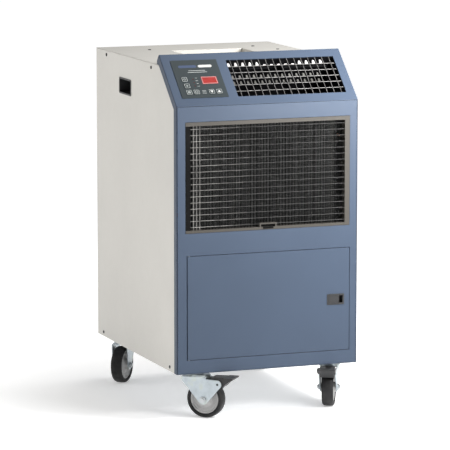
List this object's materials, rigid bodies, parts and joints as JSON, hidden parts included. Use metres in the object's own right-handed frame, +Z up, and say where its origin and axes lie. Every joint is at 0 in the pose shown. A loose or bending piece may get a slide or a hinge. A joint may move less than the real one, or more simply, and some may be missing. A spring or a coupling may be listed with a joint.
{
  "type": "portable dehumidifier",
  "caption": "Portable commercial dehumidifier: steel cabinet on swivel casters with slide-out air filter, hinged access door, sloped control panel and wire-guarded air outlet.",
  "frame": {"origin": "on the floor below the middle of the cabinet", "axes": "+X to the right seen from the front, +Y from the front face to the rear, +Z up"},
  "size_m": [0.5172, 0.7341, 0.95],
  "materials": {
    "blue_paint": "fine texture powder coat, satin",
    "white_paint": "fine texture powder coat, satin",
    "black_plastic": "moulded, fine grain",
    "filter_plastic": "moulded, fine grain",
    "filter_net": "woven net",
    "label_film": "printed film, satin",
    "button_film": "satin",
    "display_lens": "clear tinted lens",
    "indicator_lens": "moulded lens",
    "bare_wire": "plated wire",
    "duct_plastic": "moulded",
    "zinc": "bright zinc plate",
    "screw_steel": "black oxide",
    "pin_steel": "ground",
    "wheel_core": "moulded",
    "tyre_rubber": "matte",
    "galvanised": "galvanised sheet",
    "fin_aluminium": "bare fins",
    "copper": "drawn copper tube",
    "compressor_black": "gloss enamel",
    "tank_plastic": "moulded",
    "grey_plastic": "moulded",
    "board_green": "solder mask"
  },
  "bodies": {
    "cabinet": {"base_pan": "galvanised", "front_frame": "blue_paint", "front_panel": "blue_paint", "door_hinge_pins": "pin_steel", "side_panel_left": "white_paint", "side_panel_right": "white_paint", "top_panel": "white_paint", "rear_panel": "white_paint", "handle_cup_left": "black_plastic", "handle_cup_right": "black_plastic", "drain_spout": "grey_plastic", "cord_gland": "black_plastic", "outlet_guard": "bare_wire", "outlet_vanes": "duct_plastic", "outlet_duct": "duct_plastic", "blower_housing": "galvanised", "fan_motor": "compressor_black", "control_label": "label_film", "display_window": "display_lens", "indicator_lights": "indicator_lens", "control_board": "board_green", "evaporator_coil": "fin_aluminium", "condenser_coil": "fin_aluminium", "drip_tray": "galvanised", "condensate_tank": "tank_plastic", "compressor": "compressor_black", "refrigerant_pipes": "copper", "electrical_box": "galvanised", "panel_screws": "screw_steel", "caster_stems": "zinc"},
    "door": {"access_door": "blue_paint", "latch_bezel": "black_plastic"},
    "latch": {"latch_paddle": "black_plastic"},
    "filter": {"filter_frame": "filter_plastic", "filter_net": "filter_net"},
    "fan": {"fan_wheel": "galvanised"},
    "button_power": {"button_power": "button_film"},
    "button_mode": {"button_mode": "button_film"},
    "button_timer": {"button_timer": "button_film"},
    "button_fan_speed": {"button_fan_speed": "button_film"},
    "button_down": {"button_down": "button_film"},
    "button_up": {"button_up": "button_film"},
    "swivel_front_left": {"fork_front_left": "zinc", "axle_front_left": "pin_steel"},
    "wheel_front_left": {"wheel_core_front_left": "wheel_core", "tyre_front_left": "tyre_rubber"},
    "brake_front_left": {"pedal_front_left": "black_plastic"},
    "swivel_front_right": {"fork_front_right": "zinc", "axle_front_right": "pin_steel"},
    "wheel_front_right": {"wheel_core_front_right": "wheel_core", "tyre_front_right": "tyre_rubber"},
    "brake_front_right": {"pedal_front_right": "black_plastic"},
    "swivel_rear_left": {"fork_rear_left": "zinc", "axle_rear_left": "pin_steel"},
    "wheel_rear_left": {"wheel_core_rear_left": "wheel_core", "tyre_rear_left": "tyre_rubber"},
    "swivel_rear_right": {"fork_rear_right": "zinc", "axle_rear_right": "pin_steel"},
    "wheel_rear_right": {"wheel_core_rear_right": "wheel_core", "tyre_rear_right": "tyre_rubber"}
  },
  "joints": [
    {"name": "door_hinge", "type": "hinge", "parent": "cabinet", "child": "door", "pos_m": [-0.2188, -0.32, 0.298], "axis": [0, 0, -1], "range_deg": [0, 110]},
    {"name": "latch_pull", "type": "hinge", "parent": "door", "child": "latch", "pos_m": [0.1754, -0.3234, 0.29795], "axis": [0, 0, -1], "range_deg": [0, 28], "stiffness_Nm_per_rad": 0.02, "springref_deg": -11.46},
    {"name": "filter_slide", "type": "slide", "parent": "cabinet", "child": "filter", "axis": [0, -1, 0], "range_m": [0, 0.09]},
    {"name": "fan_spin", "type": "hinge", "parent": "cabinet", "child": "fan", "pos_m": [-0.0755, -0.09144, 0.63478], "axis": [1, 0, 0], "continuous": true},
    {"name": "press_power", "type": "slide", "parent": "cabinet", "child": "button_power", "axis": [0, 0.6713, -0.7412], "range_m": [0, 0.0006], "stiffness_N_per_m": 500, "springref_m": -0.0008},
    {"name": "press_mode", "type": "slide", "parent": "cabinet", "child": "button_mode", "axis": [0, 0.6713, -0.7412], "range_m": [0, 0.0006], "stiffness_N_per_m": 500, "springref_m": -0.0008},
    {"name": "press_timer", "type": "slide", "parent": "cabinet", "child": "button_timer", "axis": [0, 0.6713, -0.7412], "range_m": [0, 0.0006], "stiffness_N_per_m": 500, "springref_m": -0.0008},
    {"name": "press_fan_speed", "type": "slide", "parent": "cabinet", "child": "button_fan_speed", "axis": [0, 0.6713, -0.7412], "range_m": [0, 0.0006], "stiffness_N_per_m": 500, "springref_m": -0.0008},
    {"name": "press_down", "type": "slide", "parent": "cabinet", "child": "button_down", "axis": [0, 0.6713, -0.7412], "range_m": [0, 0.0006], "stiffness_N_per_m": 500, "springref_m": -0.0008},
    {"name": "press_up", "type": "slide", "parent": "cabinet", "child": "button_up", "axis": [0, 0.6713, -0.7412], "range_m": [0, 0.0006], "stiffness_N_per_m": 500, "springref_m": -0.0008},
    {"name": "swivel_front_left", "type": "hinge", "parent": "cabinet", "child": "swivel_front_left", "pos_m": [-0.174, -0.284, 0.11], "axis": [0, 0, 1], "continuous": true},
    {"name": "roll_front_left", "type": "hinge", "parent": "swivel_front_left", "child": "wheel_front_left", "pos_m": [-0.16137, -0.29537, 0.0508], "axis": [0.6691, 0.7431, 0], "continuous": true},
    {"name": "brake_front_left", "type": "hinge", "parent": "swivel_front_left", "child": "brake_front_left", "pos_m": [-0.13164, -0.32214, 0.0935], "axis": [0.6691, 0.7431, 0], "range_deg": [0, 16]},
    {"name": "swivel_front_right", "type": "hinge", "parent": "cabinet", "child": "swivel_front_right", "pos_m": [0.206, -0.254, 0.11], "axis": [0, 0, 1], "continuous": true},
    {"name": "roll_front_right", "type": "hinge", "parent": "swivel_front_right", "child": "wheel_front_right", "pos_m": [0.19802, -0.26901, 0.0508], "axis": [0.8829, -0.4695, 0], "continuous": true},
    {"name": "brake_front_right", "type": "hinge", "parent": "swivel_front_right", "child": "brake_front_right", "pos_m": [0.17924, -0.30433, 0.0935], "axis": [0.8829, -0.4695, 0], "range_deg": [0, 16]},
    {"name": "swivel_rear_left", "type": "hinge", "parent": "cabinet", "child": "swivel_rear_left", "pos_m": [-0.206, 0.24, 0.11], "axis": [0, 0, 1], "continuous": true},
    {"name": "roll_rear_left", "type": "hinge", "parent": "swivel_rear_left", "child": "wheel_rear_left", "pos_m": [-0.21693, 0.22698, 0.0508], "axis": [0.766, -0.6428, 0], "continuous": true},
    {"name": "swivel_rear_right", "type": "hinge", "parent": "cabinet", "child": "swivel_rear_right", "pos_m": [0.206, 0.266, 0.11], "axis": [0, 0, 1], "continuous": true},
    {"name": "roll_rear_right", "type": "hinge", "parent": "swivel_rear_right", "child": "wheel_rear_right", "pos_m": [0.21693, 0.27902, 0.0508], "axis": [-0.766, 0.6428, 0], "continuous": true}
  ]
}
